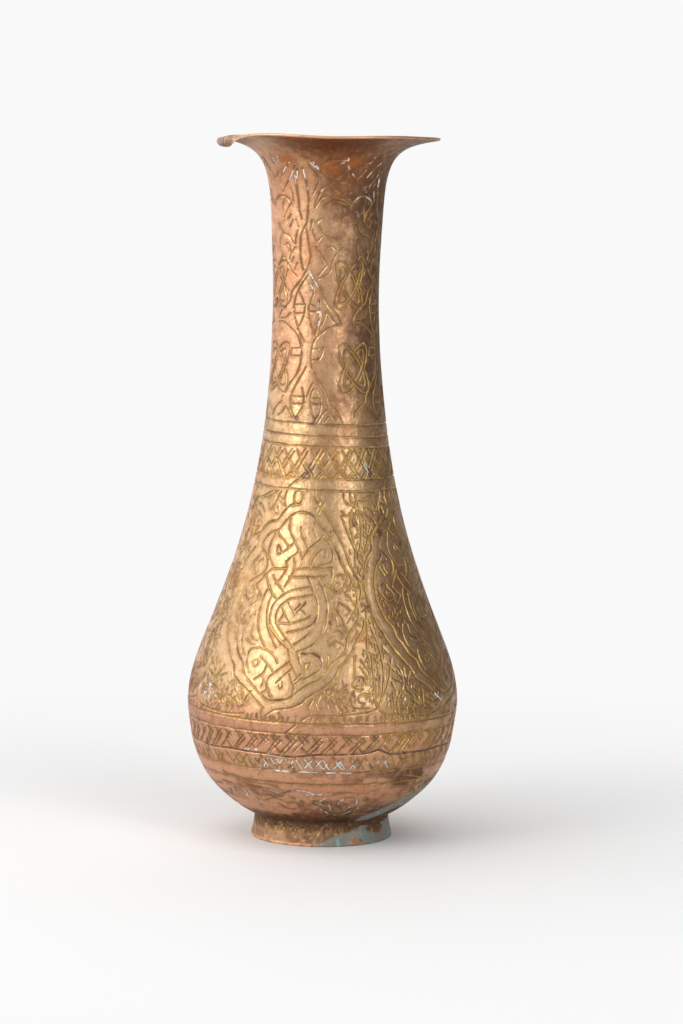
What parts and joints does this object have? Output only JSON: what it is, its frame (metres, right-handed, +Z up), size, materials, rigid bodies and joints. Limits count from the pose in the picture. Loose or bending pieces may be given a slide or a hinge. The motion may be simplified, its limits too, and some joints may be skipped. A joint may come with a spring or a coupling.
{
  "type": "engraved brass vase",
  "caption": "Long-necked engraved brass vase with a flared lip, pear-shaped body and soldered foot ring; stands free and holds stems or water.",
  "frame": {"origin": "centre of the circle that the foot ring rests on", "axes": "+Z up along the axis of the vessel, -Y towards the front of the object, where the foot strip's joint is"},
  "size_m": [0.0968, 0.0968, 0.2499],
  "materials": {
    "engraved_brass": "hand-chased, worn satin with brown patina and yellow metal in the cut lines",
    "foot_brass": "satin with brown patina and verdigris on one side",
    "hard_solder": "dull olive brass, uneven",
    "soft_solder": "dull, stained brown and green"
  },
  "bodies": {
    "root": {"upper_body": "engraved_brass", "lower_bowl": "engraved_brass", "belly_braze": "hard_solder", "foot_ring": "foot_brass", "foot_strip_joint": "hard_solder", "foot_solder": "soft_solder"}
  },
  "joints": []
}
